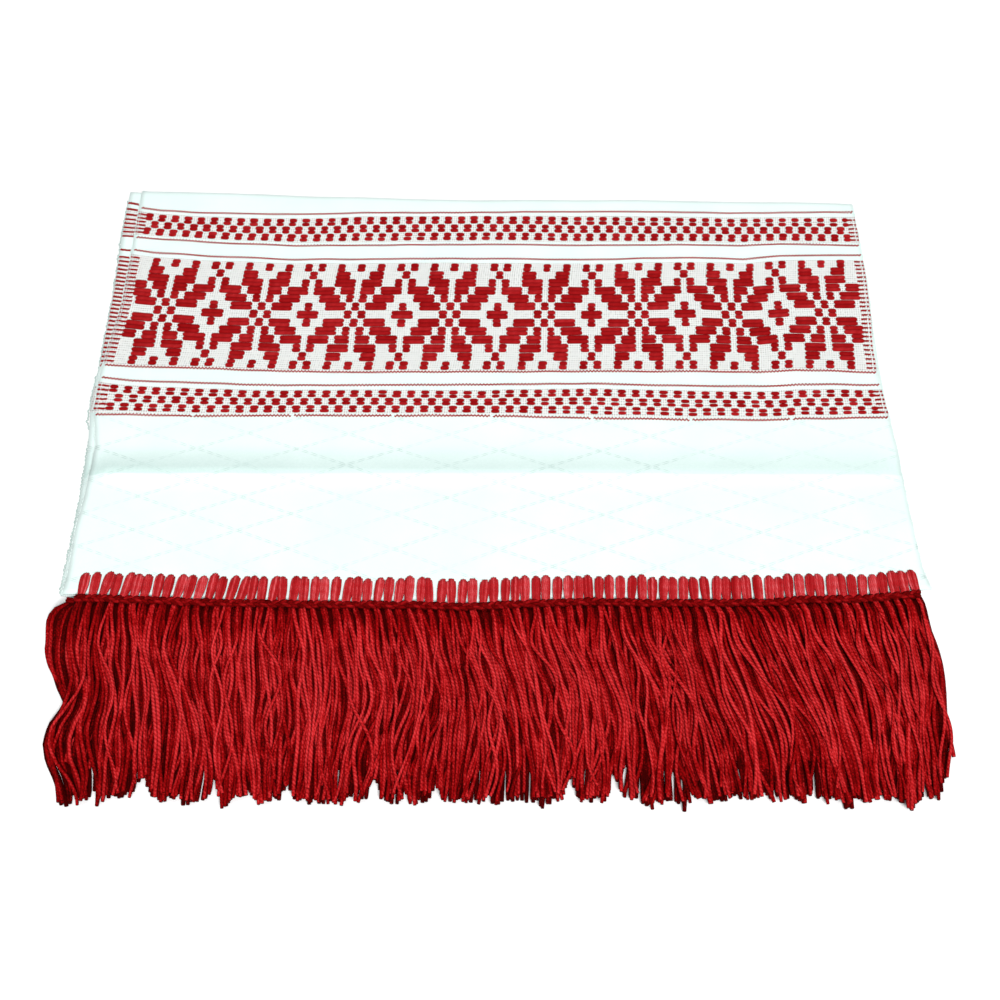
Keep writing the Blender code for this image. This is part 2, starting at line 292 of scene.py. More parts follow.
plainYarn = {"roughness": 0.9, "sheen": 0.0, "sheenTint": dye(1.0, 1.0, 1.0), "plies": 2.0,
             "fuzzScale": 2600.0, "paintedHighlight": 0.0, "paintedHighlightColor": dye(0.60, 0.060, 0.070)}
yarnFinish = {
    "red fringe yarn": {
        "roughness": 0.95, "twistLength": 0.0018, "fuzzScale": 1500.0, "bump": 0.6, "paintedGrooveShade": 0.25,
        "paintedFlankShade": 0.95, "dark": dye(0.04, 0.0, 0.0), "light": dye(0.58, 0.004, 0.006),
        "paintedShadeColor": dye(0.04, 0.0, 0.0), "paintedHighlight": 0.7, "paintedHighlightColor": dye(0.72, 0.062, 0.068)},
    "red heading yarn": {
        "sheen": 0.12, "sheenTint": dye(1.0, 0.62, 0.64), "twistLength": 0.0037, "bump": 0.5,
        "paintedGrooveShade": 0.18, "paintedFlankShade": 0.45, "dark": dye(0.32, 0.004, 0.006), "light": dye(0.62, 0.030, 0.036),
        "paintedShadeColor": dye(0.22, 0.004, 0.006), "paintedHighlight": 0.5, "paintedHighlightColor": dye(0.84, 0.24, 0.26)},
    "dark red chain yarn": {
        "twistLength": 0.0032, "fuzzScale": 2200.0, "bump": 0.8, "paintedGrooveShade": 0.4, "paintedFlankShade": 0.85,
        "dark": dye(0.07, 0.0, 0.0), "light": dye(0.30, 0.002, 0.003),
        "paintedShadeColor": dye(0.03, 0.0, 0.0), "paintedHighlight": 0.3, "paintedHighlightColor": dye(0.50, 0.020, 0.024)},
    "red pattern weft": {
        "sheen": 0.03, "sheenTint": dye(1.0, 0.3, 0.3), "plies": 1.0, "twistLength": 0.0040, "bump": 0.4,
        "paintedGrooveShade": 0.15, "paintedFlankShade": 0.35, "dark": dye(0.24, 0.002, 0.003), "light": dye(0.39, 0.012, 0.014),
        "paintedShadeColor": dye(0.16, 0.001, 0.002), "paintedHighlight": 0.2},
    "thin red line weft": {
        "twistLength": 0.0017, "bump": 0.3, "paintedGrooveShade": 0.3, "paintedFlankShade": 0.2, "dark": dye(0.22, 0.004, 0.005),
        "light": dye(0.46, 0.012, 0.014), "paintedShadeColor": dye(0.12, 0.006, 0.006)},
    "white selvedge weft": {
        "twistLength": 0.0016, "fuzzScale": 3000.0, "bump": 0.4, "paintedGrooveShade": 0.3, "paintedFlankShade": 0.1,
        "dark": dye(0.42, 0.52, 0.49), "light": dye(0.80, 0.91, 0.88),
        "paintedShadeColor": dye(0.45, 0.58, 0.54)},
}
fringeYarn, loopYarn, chainYarn, patternYarn, lineYarn, edgeYarn = (
    yarnMaterial(name, {**plainYarn, **values}) for name, values in yarnFinish.items())


# The bands. Each lies between two thin lines; "back" and "front" are the reach of its first and
# last pick edge. In the charts X is a red float over one column of the repeat.
starChart = [
    "X..X..X..X..X.",
    "...XX...XX...X",
    "X..XXX.XXX..X.",
    "XXX.XX.XX.XXX.",
    ".XXX.X.X.XXX..",
    "..XXX.X.XXX..X",
    "X....X.X....XX",
]
checkChart = ["X.", ".X", "X."]
bands = [
    {"back": 0.2111, "front": 0.1954, "chart": checkChart, "lineBack": 0.2137, "lineFront": 0.1928},
    {"back": 0.1814, "front": 0.1178, "chart": starChart + starChart[-2::-1],
     "lineBack": 0.1845, "lineFront": 0.1166},
    {"back": 0.1059, "front": 0.0931, "chart": checkChart, "lineBack": 0.1087, "lineFront": 0.0915},
]
pattern = {
    "starCentres": [-0.1590, -0.1133, -0.0688, -0.0238, 0.0210, 0.0653, 0.1096, 0.1538],
    "repeat": 14,
    "leftColumn": 0.00323,
    "rightColumn": 0.00319,
    "columns": (-12, 112),
    "lean": 0.07,
    "leanReach": 0.1496,
    "floatOverlap": 0.00030,
    "floatLift": 0.00012,
    "shortest": 0.0016,
    "leftMargin": (0.0034, 0.0046, 0.0054),
    "rightMargin": 0.0040,
    "seed": 11,
}
centres = np.array(pattern["starCentres"])
columnKnots = pattern["repeat"] * np.arange(float(len(centres)))


def columnAcross(column):  # place of a column of the star repeat; column 0 is the first star's axis
    low = centres[0] + column * pattern["leftColumn"]
    high = centres[-1] + (column - columnKnots[-1]) * pattern["rightColumn"]
    inside = np.interp(column, columnKnots, centres)
    return np.where(column < 0.0, low, np.where(column > columnKnots[-1], high, inside))


def acrossColumn(across):
    low = (across - centres[0]) / pattern["leftColumn"]
    high = columnKnots[-1] + (across - centres[-1]) / pattern["rightColumn"]
    inside = np.interp(across, centres, columnKnots)
    return np.where(across < centres[0], low, np.where(across > centres[-1], high, inside))


# How far the woven rows stray from straight rows: for a few of them, the amount at each place across
rowPlaces = 0.001 * np.array([-188, -168, -142, -100, -68, -12, 40, 94, 118, 136, 178])
rowBow = {
    0.0780: [0] * 11,
    0.0915: [-20, -13, -19, -11, -9, -4, -11, -13, -12, -2, 8],
    0.1035: [12, -4, -14, -19, -12, -13, 8, 3, 1, 14, 22],
    0.1087: [22, -3, -10, -18, -14, -5, 8, 4, 4, 18, 21],
    0.1166: [12, -3, -6, -18, -20, -10, 0, 9, 7, 23, 12],
    0.1413: [24, 2, -12, -20, -14, -6, 3, 19, 13, 33, 34],
    0.1734: [18, -9, -22, -30, -22, -10, -1, 25, 19, 41, 61],
    0.1845: [22, -6, -22, -36, -25, -9, -4, 22, 17, 44, 58],
    0.1928: [8, -2, -19, -32, -21, -2, 5, 21, 21, 38, 36],
    0.2082: [-3, -30, -43, -43, -20, 1, 5, 11, 11, 17, 27],
    0.2137: [-2, -33, -42, -38, -19, 0, 11, 15, 16, 20, 33],
    0.2300: [0] * 11,
}
# Sideways drift of the columns of floats: reach, and the amounts at the left and the right end
columnDrift = [
    (0.0965, -5, 3), (0.1035, -8, -4), (0.1252, 15, 4), (0.1413, 7, -1),
    (0.1573, 3, -7), (0.1734, 2, -13), (0.1993, 19, 0), (0.2082, 11, 0),
]


def rowShift(reach, across):
    levels = list(rowBow)
    bow = 0.0
    for index, row in enumerate(rowBow.values()):
        bow = bow + np.interp(reach, levels, np.eye(len(levels))[index]) * np.interp(across, rowPlaces, row)
    return tenth * bow


def columnShift(reach, across):
    levels, left, right = zip(*columnDrift)
    share = (across + 0.18) / 0.36
    return tenth * mix(np.interp(reach, levels, left), np.interp(reach, levels, right), share)


def pickReach(reach, across):  # where a woven row lies, with the bow of the rows
    return reach + rowShift(reach, across) + 0.00012 * wander(across / 0.03, reach / 0.05, 5)


# The folded cloth
towel = {
    "columns": 128,
    "topRow": 0.0024,
    "lowerRow": 0.024,
    "ridgeReach": 0.0599,
    "ridgeHeight": 0.0025,
    "ridgeFront": 0.0075,
    "ridgeBack": 0.0155,
    "ridgeSpan": (-0.1800, 0.1760),
    "ridgeFade": 0.008,
    "swellHeight": 0.0005,
    "swellStart": 0.012,
    "swells": 3.5,
    "pucker": 0.00016,
    "flatSize": (0.357, 1.753),
}
# The layers, from the upper to the lower hem: level, left, right, share of the uneven edge, front end
runs = [
    (8, -0.1806, 0.1758, 1.00, 0.0000),
    (1, -0.1822, 0.1770, 0.30, 0.0046),
    (4, -0.1800, 0.1746, 0.30, 0.0046),
    (5, -0.1810, 0.1756, 0.25, 0.0040),
    (6, -0.1826, 0.1764, 0.35, 0.0040),
    (3, -0.1796, 0.1742, 0.30, 0.0060),
    (2, -0.1812, 0.1752, 0.25, 0.0060),
    (7, -0.1846, 0.1736, 0.25, 0.0000),
]
edgeReach = 0.001 * np.array([0, 12, 30, 45, 75, 93, 113, 130, 150, 173, 198, 222])
edgeLeft = tenth * np.array([-18, -10, -12, 2, 10, -27, -28, -12, 14, 15, 17, 13])
edgeRight = tenth * np.array([45, 21, 12, 5, 3, -9, -24, -26, -10, 1, -2, -3])
# The left edge of the layer below the top one, which looks out along the whole side
belowReach = [0.0056, 0.0244, 0.0518, 0.0818, 0.0877, 0.1037, 0.1150, 0.1605, 0.1963, 0.2231]
belowLeft = [-0.1838, -0.1831, -0.1828, -0.1835, -0.1858, -0.1858, -0.1849, -0.1846, -0.1858, -0.1857]


def edgesOf(run, reach):
    fine = 0.00018 * wander(reach / 0.011, 0.3 * run[0], 21)
    left = run[1] + run[3] * np.interp(reach, edgeReach, edgeLeft) + fine
    if run[0] == 7:
        left = np.interp(reach, belowReach, belowLeft) + fine
    right = run[2] + run[3] * np.interp(reach, edgeReach, edgeRight) - fine
    return left, right


def levelHeight(level):
    return 0.5 * lay["clothThickness"] + (level - 1) * lay["layerPitch"]


def topLift(across, reach):  # storage crease and slack of the top layer
    crest = towel["ridgeReach"] / (1.0 - lay["backSkew"] * across)
    behind = np.clip(1.0 - (reach - crest) / towel["ridgeBack"], 0.0, 1.0) ** 1.5
    before = np.clip(1.0 - (crest - reach) / towel["ridgeFront"], 0.0, 1.0) ** 2
    fading = 1.0 - 0.35 * smooth((across - 0.02) / 0.15) + 0.2 * smooth((-0.05 - across) / 0.08)
    left, right = towel["ridgeSpan"]
    ends = smooth((across - left) / towel["ridgeFade"]) * smooth((right - across) / towel["ridgeFade"])
    ridge = towel["ridgeHeight"] * fading * ends * np.where(reach > crest, behind, before)
    share = np.clip((reach - towel["swellStart"]) / (lay["foldStart"] - towel["swellStart"]), 0.0, 1.0)
    rolling = np.sin(towel["swells"] * math.pi * share) ** 2 * (1.0 - share ** 4)
    swell = towel["swellHeight"] * rolling * (0.6 + 0.4 * np.cos(30.0 * across))
    pucker = towel["pucker"] * smooth(share / 0.1) * smooth((1.0 - share) / 0.1)
    return ridge + swell + pucker * (1.0 + wander(across / 0.05, reach / 0.04, 31))


def clothTop(across, reach):  # upper surface of the top layer
    return levelHeight(8) + 0.5 * lay["clothThickness"] + topLift(across, reach)


def foldedStations():  # reach, height, left, right, on the top layer; in order along the cloth
    stations = []
    for index, run in enumerate(runs):
        backward = index % 2 == 0
        step = towel["topRow"] if index == 0 else towel["lowerRow"]
        count = max(2, round((lay["foldStart"] - run[4]) / step))
        reaches = np.linspace(run[4], lay["foldStart"], count + 1)
        if not backward:
            reaches = reaches[::-1]
        for reach in reaches:
            left, right = edgesOf(run, reach)
            stations.append((reach, levelHeight(run[0]), left, right, index == 0))
        if index + 1 == len(runs):
            break
        following = runs[index + 1]
        radius = 0.5 * abs(run[0] - following[0]) * lay["layerPitch"]
        middle = 0.5 * (levelHeight(run[0]) + levelHeight(following[0]))
        rising = 1.0 if following[0] > run[0] else -1.0
        centre, outward = (lay["foldStart"], 1.0) if backward else (run[4], -1.0)
        steps = 6 + 2 * abs(run[0] - following[0])
        for step in range(1, steps):
            angle = math.pi * (step / steps - 0.5)
            reach = centre + outward * radius * math.cos(angle)
            height = middle + rising * radius * math.sin(angle)
            left, right = edgesOf(run, reach)
            nextLeft, nextRight = edgesOf(following, reach)
            share = smooth(2.0 * step / steps if rising > 0.0 else 2.0 * step / steps - 1.0)
            stations.append((reach, height, mix(left, nextLeft, share), mix(right, nextRight, share), False))
    return np.array(stations, float)


def buildTowel(material):
    stations = foldedStations()
    last = len(stations) - 1
    bm = bmesh.new()
    bmesh.ops.create_grid(bm, x_segments=towel["columns"], y_segments=last, size=0.5)
    mesh = meshFrom(bm, "towelSheet")
    flat = cornersOf(mesh)
    row = np.rint((flat[:, 1] + 0.5) * last).astype(int)
    share = flat[:, 0] + 0.5
    across = mix(stations[row, 2], stations[row, 3], share)
    reach = stations[row, 0]
    lift = np.where(stations[row, 4] > 0.5, topLift(across, reach), 0.0)
    points = place(across, reach, stations[row, 1] + lift)
    mesh.vertices.foreach_set("co", points.ravel())
    steps = np.hypot(np.diff(stations[:, 0]), np.diff(stations[:, 1]))
    length = np.concatenate(([0.0], np.cumsum(steps)))
    fromHem = np.minimum(length, length[-1] - length)[row]
    sideShift = pattern["lean"] * (fromHem - pattern["leanReach"]) + columnShift(fromHem, across)
    column = acrossColumn(across - sideShift)
    pickPlace = 2.0 * fromHem - pickReach(fromHem, across)
    pointAttribute(mesh, "cloth", "FLOAT_VECTOR", np.stack((across, fromHem, column), -1))
    pointAttribute(mesh, "pickPlace", "FLOAT", pickPlace)
    mesh.update()
    piece = addPiece("towelSheet", mesh, material)
    wall = piece.modifiers.new("Cloth thickness", "SOLIDIFY")
    wall.thickness = lay["clothThickness"]
    wall.offset = 0.0
    return piece


clothFinish = {
    "white": dye(0.78, 0.91, 0.885),
    "shade": dye(0.66, 0.80, 0.765),
    "bandGround": dye(0.76, 0.78, 0.76),
    # painted shade in the holes of the band ground
    "holeShadeColor": dye(0.11, 0.12, 0.11),
    "figureColor": dye(0.42, 0.58, 0.54),
    "figureDepth": 0.75,
    "figureAcross": 0.1572,
    "figureReach": 0.0150,
    "figureLift": 0.63,
    "figureEnd": (0.0900, 0.0920),
    "topHeight": 0.0112,
    # painted shade behind the crest of the crease: its strength, the span across where it fades, and its
    # colour
    "paintedCreaseShade": 0.95,
    "paintedCreaseShadeAcross": (-0.165, -0.060),
    "paintedCreaseShadeColor": dye(0.58, 0.75, 0.71),
    "threadPitch": 0.00081,
    "holesInColumn": 3.0,
    "holesInPick": 2.0,
    "pickPitch": 0.002446,
    "noiseScales": (45.0, 900.0),
    "roughness": 0.95,
}


def clothMaterial():
    material, shader = newMaterial("white cotton weave", clothFinish["roughness"], 0.1)
    tree = material.node_tree
    across, along, column = separate(attributeOf(tree, "cloth")["Vector"])
    pick = attributeOf(tree, "pickPlace")["Fac"]
    object3d = addNode(tree, "ShaderNodeTexCoord").outputs["Object"]
    cloudy, grain = (noise(object3d, scale) for scale in clothFinish["noiseScales"])
    # twill of the white ground, and the rhombus figure woven in it
    way = plus(across, times(along, 1.6))
    twill = calc("SINE", times(way, fullTurn / clothFinish["threadPitch"]))
    figure = addNode(tree, "ShaderNodeGroup", node_tree=rhombusFigure)
    lift = calc("MAXIMUM", minus(separate(object3d)[2], clothFinish["topHeight"]), 0.0)
    figureAlong = plus(along, times(lift, clothFinish["figureLift"]))
    feed(figure.inputs["Across"], plus(across, clothFinish["figureAcross"]))
    feed(figure.inputs["Along"], minus(figureAlong, clothFinish["figureReach"]))
    plain = minus(1.0, spread(along, *clothFinish["figureEnd"]))
    figureMask = times(figure.outputs["Line"], plain, spread(cloudy, 0.35, 0.55, 0.35, 1.0))
    # zones of the three bands, by the distance from the hem
    zones = []
    for band in bands:
        rise = spread(pick, band["front"] - 0.0010, band["front"] - 0.0002)
        fall = spread(pick, band["back"] + 0.0002, band["back"] + 0.0010, 1.0, 0.0)
        zones.append(times(rise, fall))
    zone = calc("MAXIMUM", calc("MAXIMUM", zones[0], zones[1]), zones[2])
    # small holes between the threads of the band ground, deepest between two pattern picks; the holes get a
    # dark colour, painted shade, and a dip in the bump
    pickShare = calc("DIVIDE", minus(pick, bands[1]["front"]), clothFinish["pickPitch"])
    columnTurn = times(plus(column, 40.5), fullTurn * clothFinish["holesInColumn"])
    pickTurn = times(pickShare, fullTurn * clothFinish["holesInPick"])
    openX = spread(calc("SINE", columnTurn), -0.7, 0.6)
    openY = spread(calc("SINE", pickTurn), -0.6, 0.6)
    edge = calc("ABSOLUTE", minus(calc("FRACT", plus(pickShare, 40.0)), 0.5))
    deep = spread(edge, 0.32, 0.46, 0.60, 1.0)
    holeMask = times(openX, openY, deep, spread(grain, 0.36, 0.56, 0.3, 1.0), zone)
    # painted shade on the cloth just behind the crest of the crease, broken up by the weave grain and fading
    # towards the right; it adds to the real shade of the raised ridge
    crease = times(along, minus(1.0, times(across, lay["backSkew"])))
    behind = spread(crease, towel["ridgeReach"], towel["ridgeReach"] + towel["ridgeBack"], 1.0, 0.0)
    before = spread(crease, towel["ridgeReach"] - 0.0007, towel["ridgeReach"] - 0.0001)
    weave = spread(plus(times(twill, 0.25), grain), 0.25, 0.75, 1.25, 0.65)
    shade = times(behind, before, times(weave, clothFinish["paintedCreaseShade"]),
                  spread(across, *clothFinish["paintedCreaseShadeAcross"], 1.0, 0.58))
    ground = blend(spread(cloudy, 0.35, 0.65, 0.35, 0.0), clothFinish["white"], clothFinish["shade"])
    ground = blend(spread(grain, 0.35, 0.75, 0.12, 0.0), ground, clothFinish["shade"])
    ground = blend(shade, ground, clothFinish["paintedCreaseShadeColor"])
    ground = blend(zone, ground, clothFinish["bandGround"])
    ground = blend(times(figureMask, clothFinish["figureDepth"]), ground, clothFinish["figureColor"])
    ground = blend(holeMask, ground, clothFinish["holeShadeColor"])
    height = plus(times(twill, 0.25), times(grain, 0.6))
    dips = plus(times(figureMask, 0.8), times(holeMask, 1.5))
    dressShader(tree, shader, ground, minus(height, dips), 0.5, 0.00015)
    return material


towelSheet = buildTowel(clothMaterial())
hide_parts("towel_cloth")
print("towel sheet folded")


# Yarns: a straight tube is made once for a piece, copied, and each copy is laid along its path.
def yarnTemplate(rings, sides):
    bm = bmesh.new()
    bmesh.ops.create_circle(bm, cap_ends=False, segments=sides, radius=1.0)
    rim = list(bm.edges)
    for _ in range(rings - 1):
        made = bmesh.ops.extrude_edge_only(bm, edges=rim)["geom"]
        fresh = {item for item in made if isinstance(item, bmesh.types.BMVert)}
        bmesh.ops.translate(bm, verts=list(fresh), vec=(0.0, 0.0, 1.0))
        rim = [item for item in made if isinstance(item, bmesh.types.BMEdge) and set(item.verts) <= fresh]
    bmesh.ops.holes_fill(bm, edges=bm.edges, sides=0)
    bmesh.ops.recalc_face_normals(bm, faces=bm.faces)
    return meshFrom(bm, "yarn")


def copied(mesh, count):  # the mesh, count times over, copy after copy
    holder = newObject("copies", mesh)
    array = holder.modifiers.new("Copies", "ARRAY")
    array.use_relative_offset = False
    array.use_constant_offset = True
    array.constant_offset_displace = (3.0, 0.0, 0.0)
    array.count = count
    depsgraph = bpy.context.evaluated_depsgraph_get()
    made = bpy.data.meshes.new_from_object(holder.evaluated_get(depsgraph))
    bpy.data.objects.remove(holder)
    return made


def layYarns(name, paths, radii, material, sides=6, flatness=1.0, tones=None):
    paths = np.asarray(paths, float)
    count, rings = paths.shape[:2]
    radii = np.broadcast_to(radii, (count, rings))
    template = yarnTemplate(rings, sides)
    shape = cornersOf(template)
    ring = np.rint(shape[:, 2]).astype(int)
    tangents = np.gradient(paths, axis=1)
    tangents /= np.maximum(np.linalg.norm(tangents, axis=2, keepdims=True), 1e-9)
    sideways = np.cross(np.array((0.0, 0.0, 1.0)), tangents)
    sideways /= np.maximum(np.linalg.norm(sideways, axis=2, keepdims=True), 1e-9)
    upward = np.cross(tangents, sideways)
    width = radii[:, ring, None]
    points = paths[:, ring] + width * (sideways[:, ring] * shape[None, :, 0, None]
                                       + upward[:, ring] * shape[None, :, 1, None] * flatness)
    lengths = np.linalg.norm(np.diff(paths, axis=1), axis=2)
    along = np.concatenate((np.zeros((count, 1)), np.cumsum(lengths, axis=1)), axis=1)
    mesh = copied(template, count)
    mesh.vertices.foreach_set("co", points.ravel())
    marks = np.stack((np.broadcast_to(shape[:, 0], along[:, ring].shape),
                      np.broadcast_to(shape[:, 1], along[:, ring].shape), along[:, ring]), -1)
    pointAttribute(mesh, "yarn", "FLOAT_VECTOR", marks)
    tones = np.full(count, 0.5) if tones is None else np.asarray(tones, float)
    pointAttribute(mesh, "tone", "FLOAT", np.broadcast_to(tones.reshape(count, -1), (count, rings))[:, ring])
    mesh.update()
    piece = addPiece(name, mesh, material)
    print(name, "with", count, "yarns and", len(mesh.polygons), "faces")
    return piece


def floatPaths(spans, height):  # spans: start and end across, and reach, of each float
    spans = np.array(spans, float)
    blunt = np.array((0.0, 0.16, 0.55, 1.0))
    rings = 8
    start, end, reach = spans[:, 0], spans[:, 1], spans[:, 2]
    tip = np.minimum(0.0012, 0.45 * (end - start))
    across = np.empty((len(spans), rings))
    for index, share in enumerate(blunt):
        across[:, index] = start + tip * share
        across[:, rings - 1 - index] = end - tip * share
    reaches = pickReach(reach[:, None], across)
    heights = clothTop(across, reaches) + height
    return across, reaches, heights


def isRed(line, column):  # whether a line of a chart has a float over this column
    return line[(column + 6) % pattern["repeat"] if len(line) > 2 else column % 2] == "X"


# The red floats of the bands
def bandFloatSpans():
    dice = np.random.default_rng(pattern["seed"])
    spans, widths, tones = [], [], []
    for index, band in enumerate(bands):
        chart = band["chart"]
        picks = 2 * len(chart)
        pitch = (band["back"] - band["front"]) / picks
        for pick in range(picks):
            line = chart[pick // 2]
            reach = band["back"] - (pick + 0.5) * pitch
            pinch = 0.00008 * (1.0 if pick % 2 else -1.0)
            shift = pattern["lean"] * (reach - pattern["leanReach"])
            left, right = edgesOf(runs[0], reach)
            first, last = left + pattern["leftMargin"][index], right - pattern["rightMargin"]
            column, lastColumn = pattern["columns"]
            while column < lastColumn:
                if not isRed(line, column):
                    column += 1
                    continue
                begin = column
                while isRed(line, column):
                    column += 1
                overlap = pattern["floatOverlap"]
                start = columnAcross(begin - 0.5) + shift - overlap + dice.normal(0.0, 0.00010)
                end = columnAcross(column - 0.5) + shift + overlap + dice.normal(0.0, 0.00010)
                start, end = (spot + float(columnShift(reach, spot)) for spot in (start, end))
                start, end = max(start, first), min(end, last)
                if end - start < pattern["shortest"]:
                    continue
                spans.append((start, end, reach + pinch + dice.normal(0.0, 0.00005)))
                full = 0.53 if index == 1 else 0.50 - 0.04 * (pick % 2 == 1)
                widths.append(full * pitch * dice.uniform(0.94, 1.06))
                tones.append(dice.uniform(0.2, 0.8))
    return spans, np.array(widths), tones


floatShape = np.array((0.34, 0.62, 0.90, 1.0, 1.0, 0.90, 0.62, 0.34))
spans, widths, tones = bandFloatSpans()
across, reaches, heights = floatPaths(spans, pattern["floatLift"])
bandFloats = layYarns("bandFloats", place(across, reaches, heights), widths[:, None] * floatShape,
                      patternYarn, sides=8, flatness=0.50, tones=tones)


# The thin zigzag lines beside the bands; the front one dips below the cloth once in a repeat
thread = {
    "turns": 450,
    "leftMargin": 0.0014,
    "rightMargin": 0.0010,
    "zigzag": 0.00056,
    "lift": 0.00012,
    "radius": 0.00042,
    "dipPlace": -0.138,
    "dipPitch": 0.0448,
    "dipWidth": 0.0007,
    "dipDepth": -0.0006,
}


def edgeLinePaths():
    paths = []
    turns = thread["turns"]
    for band in bands:
        for reach in (band["lineBack"], band["lineFront"]):
            left, right = edgesOf(runs[0], reach)
            across = np.linspace(left + thread["leftMargin"], right - thread["rightMargin"], turns)
            uneven = 0.8 + 0.2 * wander(across / 0.03, reach / 0.01, 8)
            zigzag = thread["zigzag"] * (np.arange(turns) % 2 * 2 - 1) * uneven
            reaches = pickReach(reach, across) + zigzag
            lift = np.full(turns, thread["lift"])
            if reach == bands[2]["lineFront"]:
                repeats = (across - thread["dipPlace"]) / thread["dipPitch"]
                fromDip = np.abs(repeats - np.rint(repeats)) * thread["dipPitch"]
                lift = np.where(fromDip < thread["dipWidth"], thread["dipDepth"], lift)
            paths.append(place(across, reaches, clothTop(across, reaches) + lift))
    return paths


edgeLines = layYarns("edgeLines", edgeLinePaths(), thread["radius"], lineYarn, sides=5)


# Red weft showing at the selvedges of the top layer and of the layer below: beads and hatched dashes
selvedge = {
    "bead": (0.0009, 0.0009, 0.0016),
    "rightBead": 0.0012,
    "inset": 0.0001,
    "belowShift": (0.0021, 0.0006, 0.0),
    "belowStretch": 1.13,
    "tickPitch": 0.00056,
    "leftTicks": (6, 0.0006),
    "rightTicks": (5, -0.0043),
    "tickLean": (0.00020, 0.00055),
    "lift": 0.00006,
    "beadRadius": 0.00060,
    "tickRadius": 0.00034,
    "seed": 17,
}


def selvedgeMarks():
    dice = np.random.default_rng(selvedge["seed"])
    beads, ticks = [], []
    for index, band in enumerate(bands):
        picks = 2 * len(band["chart"])
        pitch = (band["back"] - band["front"]) / picks
        rows = [(band["back"] - (pick + 0.5) * pitch, False) for pick in range(picks)]
        rows += [(band["lineBack"], True), (band["lineFront"], True)]
        for reach, isLine in rows:
            left, right = edgesOf(runs[0], reach)
            if not isLine:
                start = left + selvedge["bead"][index]
                beads.append((left + selvedge["inset"], start, reach))
                beads.append((right - selvedge["rightBead"], right - 2.0 * selvedge["inset"], reach))
                for edge, (count, gap) in ((start, selvedge["leftTicks"]), (right, selvedge["rightTicks"])):
                    for tick in range(count):
                        spot = edge + gap + selvedge["tickPitch"] * tick
                        ticks.append((spot, reach + dice.normal(0.0, 0.00007), 0))
            centre = 0.5 * (band["back"] + band["front"])
            stretch = selvedge["belowStretch"] if index == 0 and not isLine else 1.0
            belowRow = centre + (reach - centre) * stretch + selvedge["belowShift"][index]
            spot = edgesOf(runs[7], reach)[0] + 0.0005
            while index < 2 and spot < left + 0.0003:
                ticks.append((spot, belowRow + dice.normal(0.0, 0.00006), 1))
                spot += selvedge["tickPitch"]
    return np.array(beads), np.array(ticks)


def layerTop(across, reach, below):  # surface that a mark lies on: the top layer or the one below
    flat = levelHeight(7) + 0.5 * lay["clothThickness"]
    return np.where(below > 0.5, flat, clothTop(across, reach))


beads, ticks = selvedgeMarks()
across, reaches, heights = floatPaths(beads, selvedge["lift"])
selvedgeBeads = layYarns("selvedgeBeads", place(across, reaches, heights),
                         selvedge["beadRadius"] * floatShape, patternYarn, sides=6, flatness=0.5)
slant = np.linspace(-1.0, 1.0, 4)
across = ticks[:, 0:1] + selvedge["tickLean"][0] * slant
reaches = pickReach(ticks[:, 1:2], ticks[:, 0:1]) + selvedge["tickLean"][1] * slant
heights = layerTop(across, reaches, ticks[:, 2:3]) + selvedge["lift"]
tickShape = selvedge["tickRadius"] * np.array((0.5, 1.0, 1.0, 0.5))
selvedgeTicks = layYarns("selvedgeTicks", place(across, reaches, heights), tickShape, lineYarn, sides=5)


# White weft turning at the selvedges of the two upper layers: each turn is four points
weft = {
    "turns": 118,
    "span": (0.0005, 0.2165),
    "turn": (0.0, 0.8, 1.0, 0.8),
    "size": {0: (0.00012, 0.00055), 7: (0.00012, 0.00085)},
    "sink": 0.0001,
    "radius": 0.00032,
    "seed": 23,
}


def selvedgePaths():
    paths = []
    dice = np.random.default_rng(weft["seed"])
    points = 4 * weft["turns"]
    for layer, sizes in weft["size"].items():
        for side in (0, 1):
            reach = np.linspace(*weft["span"], points)
            edge = edgesOf(runs[layer], reach)[side]
            size = np.repeat(dice.uniform(*sizes, weft["turns"]), 4)
            outward = size * np.tile(weft["turn"], weft["turns"]) - weft["sink"]
            across = edge + (outward if side else -outward)
            lift = topLift(edge, reach) if layer == 0 else 0.0
            paths.append(place(across, reach, levelHeight(runs[layer][0]) + lift + weft["sink"]))
    return paths


# the lower layer's two cords take the darkest tone: painted shade on the layer below
selvedgeCord = layYarns("selvedgeCord", selvedgePaths(), weft["radius"], edgeYarn, sides=6,
                        tones=(0.9, 0.9, 0.0, 0.0))


# The crocheted heading: loops over the hem and a chain along it
heading = {
    "left": -0.1762,
    "right": 0.1753,
    "loops": 80,
    "yarnsInLoop": 5,
    "loopReach": 0.0101,
    "footReach": -0.0016,
    "inset": 0.00056,
    "bulge": 0.00025,
    # shares of the way up a loop, with the rise over the cloth and the yarn's radius there, in millimetres
    "shares": (0.0, 0.12, 0.3, 0.5, 0.7, 0.85, 0.95, 1.0, 1.02),
    "rise": (1.2, 1.1, 0.8, 0.7, 0.7, 0.65, 0.4, -0.1, -0.6),
    "radius": (0.46, 0.50, 0.55, 0.58, 0.58, 0.58, 0.56, 0.53, 0.46),
    "seed": 41,
}


